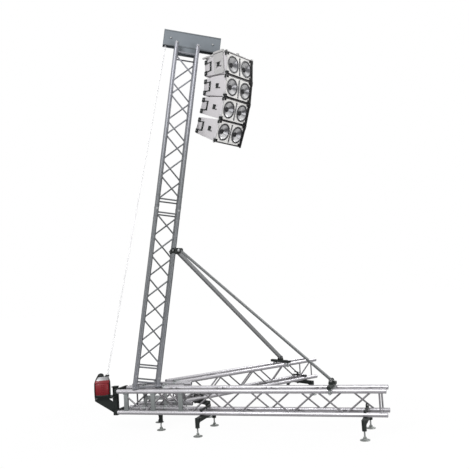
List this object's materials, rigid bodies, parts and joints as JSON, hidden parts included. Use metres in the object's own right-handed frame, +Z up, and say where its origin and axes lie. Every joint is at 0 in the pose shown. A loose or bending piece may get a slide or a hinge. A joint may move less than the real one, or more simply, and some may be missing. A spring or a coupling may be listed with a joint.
{
  "type": "line array lifting tower",
  "caption": "Ground-supported truss tower with a leaning mast, spread legs on screw jacks, braces and a chain hoist that lifts a hung column of loudspeaker cabinets.",
  "frame": {"origin": "middle of the covered ground, on the floor", "axes": "+Z up, +X forward towards the hung cabinets, +Y to the left; the mast leans in the plane Y = 0"},
  "size_m": [3.124, 3.227, 4.8977],
  "materials": {
    "truss_aluminium": "bright drawn tube",
    "mast_paint": "grey satin",
    "head_paint": "blue-grey satin paint",
    "black_steel": "black powder coat",
    "galvanised_steel": "zinc plated",
    "bright_steel": "plain steel",
    "cabinet_paint": "pale grey textured paint on plywood",
    "driver_front": "silver cones on a grey panel",
    "hoist_red": "dark red paint",
    "hoist_silver": "cast and painted silver"
  },
  "bodies": {
    "tower": {"near_leg_truss": "truss_aluminium", "centre_truss": "truss_aluminium", "truss_tie": "galvanised_steel", "swivel_coupler": "galvanised_steel", "near_inner_arm": "black_steel", "near_inner_clamp": "black_steel", "near_outer_arm": "black_steel", "near_outer_clamp": "black_steel", "far_leg_truss": "truss_aluminium", "far_inner_arm": "black_steel", "far_inner_clamp": "black_steel", "far_outer_arm": "black_steel", "far_outer_clamp": "black_steel", "mast_lower": "mast_paint", "mast_upper": "mast_paint", "foot_bolt_rear": "bright_steel", "splice_bolt_rear": "bright_steel", "foot_bolt_front": "bright_steel", "splice_bolt_front": "bright_steel", "head_beam": "head_paint", "centre_arm": "black_steel", "mast_base": "mast_paint", "near_brace": "truss_aluminium", "near_brace_lug": "black_steel", "near_foot_bar": "black_steel", "far_brace": "truss_aluminium", "far_brace_lug": "black_steel", "far_foot_bar": "black_steel", "chain_lift_run": "bright_steel", "chain_front_fall": "bright_steel", "hoist_case": "hoist_red", "hoist_cover": "hoist_silver", "hoist_bracket": "black_steel"},
    "chain_end": {"chain_yoke": "black_steel"},
    "top_cabinet": {"swivel_stem": "bright_steel", "fly_frame": "galvanised_steel", "cabinet_1_enclosure": "cabinet_paint", "cabinet_1_baffle": "driver_front", "cabinet_1_rigging": "black_steel"},
    "second_cabinet": {"cabinet_2_enclosure": "cabinet_paint", "cabinet_2_baffle": "driver_front", "cabinet_2_rigging": "black_steel"},
    "third_cabinet": {"cabinet_3_enclosure": "cabinet_paint", "cabinet_3_baffle": "driver_front", "cabinet_3_rigging": "black_steel"},
    "bottom_cabinet": {"cabinet_4_enclosure": "cabinet_paint", "cabinet_4_baffle": "driver_front", "cabinet_4_rigging": "black_steel"},
    "front_sheave": {"front_sheave": "bright_steel"},
    "rear_sheave": {"rear_sheave": "bright_steel"},
    "near_inner_left_jack": {"near_inner_left_jack": "galvanised_steel"},
    "near_inner_right_jack": {"near_inner_right_jack": "galvanised_steel"},
    "near_outer_left_jack": {"near_outer_left_jack": "galvanised_steel"},
    "near_outer_right_jack": {"near_outer_right_jack": "galvanised_steel"},
    "far_inner_left_jack": {"far_inner_left_jack": "galvanised_steel"},
    "far_inner_right_jack": {"far_inner_right_jack": "galvanised_steel"},
    "far_outer_left_jack": {"far_outer_left_jack": "galvanised_steel"},
    "far_outer_right_jack": {"far_outer_right_jack": "galvanised_steel"},
    "centre_left_jack": {"centre_left_jack": "galvanised_steel"},
    "centre_right_jack": {"centre_right_jack": "galvanised_steel"}
  },
  "joints": [
    {"name": "array_lift", "type": "slide", "parent": "tower", "child": "chain_end", "axis": [0, 0, 1], "range_m": [-3.3, 0], "deforming": ["chain_front_fall"]},
    {"name": "array_swivel", "type": "hinge", "parent": "chain_end", "child": "top_cabinet", "pos_m": [0.12967, 0, 4.6], "axis": [0, 0, 1], "range_deg": [-35, 50]},
    {"name": "splay_top", "type": "hinge", "parent": "top_cabinet", "child": "second_cabinet", "pos_m": [0.35735, -0.25287, 4.18515], "axis": [0.7431, 0.6691, 0], "range_deg": [-6, 4]},
    {"name": "splay_middle", "type": "hinge", "parent": "second_cabinet", "child": "third_cabinet", "pos_m": [0.32211, -0.21373, 3.91422], "axis": [0.7431, 0.6691, 0], "range_deg": [-8, 2]},
    {"name": "splay_bottom", "type": "hinge", "parent": "third_cabinet", "child": "bottom_cabinet", "pos_m": [0.26199, -0.14696, 3.65326], "axis": [0.7431, 0.6691, 0], "range_deg": [-4, 6]},
    {"name": "front_sheave_spin", "type": "hinge", "parent": "tower", "child": "front_sheave", "pos_m": [0.07967, 0, 4.69542], "axis": [0, 1, 0], "continuous": true},
    {"name": "rear_sheave_spin", "type": "hinge", "parent": "tower", "child": "rear_sheave", "pos_m": [-0.44784, 0, 4.78464], "axis": [0, 1, 0], "continuous": true},
    {"name": "near_inner_left_jack_height", "type": "slide", "parent": "tower", "child": "near_inner_left_jack", "axis": [0, 0, 1], "range_m": [-0.03, 0.045]},
    {"name": "near_inner_right_jack_height", "type": "slide", "parent": "tower", "child": "near_inner_right_jack", "axis": [0, 0, 1], "range_m": [-0.03, 0.045]},
    {"name": "near_outer_left_jack_height", "type": "slide", "parent": "tower", "child": "near_outer_left_jack", "axis": [0, 0, 1], "range_m": [-0.03, 0.045]},
    {"name": "near_outer_right_jack_height", "type": "slide", "parent": "tower", "child": "near_outer_right_jack", "axis": [0, 0, 1], "range_m": [-0.03, 0.045]},
    {"name": "far_inner_left_jack_height", "type": "slide", "parent": "tower", "child": "far_inner_left_jack", "axis": [0, 0, 1], "range_m": [-0.03, 0.045]},
    {"name": "far_inner_right_jack_height", "type": "slide", "parent": "tower", "child": "far_inner_right_jack", "axis": [0, 0, 1], "range_m": [-0.03, 0.045]},
    {"name": "far_outer_left_jack_height", "type": "slide", "parent": "tower", "child": "far_outer_left_jack", "axis": [0, 0, 1], "range_m": [-0.03, 0.045]},
    {"name": "far_outer_right_jack_height", "type": "slide", "parent": "tower", "child": "far_outer_right_jack", "axis": [0, 0, 1], "range_m": [-0.03, 0.045]},
    {"name": "centre_left_jack_height", "type": "slide", "parent": "tower", "child": "centre_left_jack", "axis": [0, 0, 1], "range_m": [-0.03, 0.045]},
    {"name": "centre_right_jack_height", "type": "slide", "parent": "tower", "child": "centre_right_jack", "axis": [0, 0, 1], "range_m": [-0.03, 0.045]}
  ],
  "couplings": [
    {"joint": "front_sheave_spin", "follows": "array_lift", "rad_per_m": -20},
    {"joint": "rear_sheave_spin", "follows": "array_lift", "rad_per_m": -20}
  ]
}
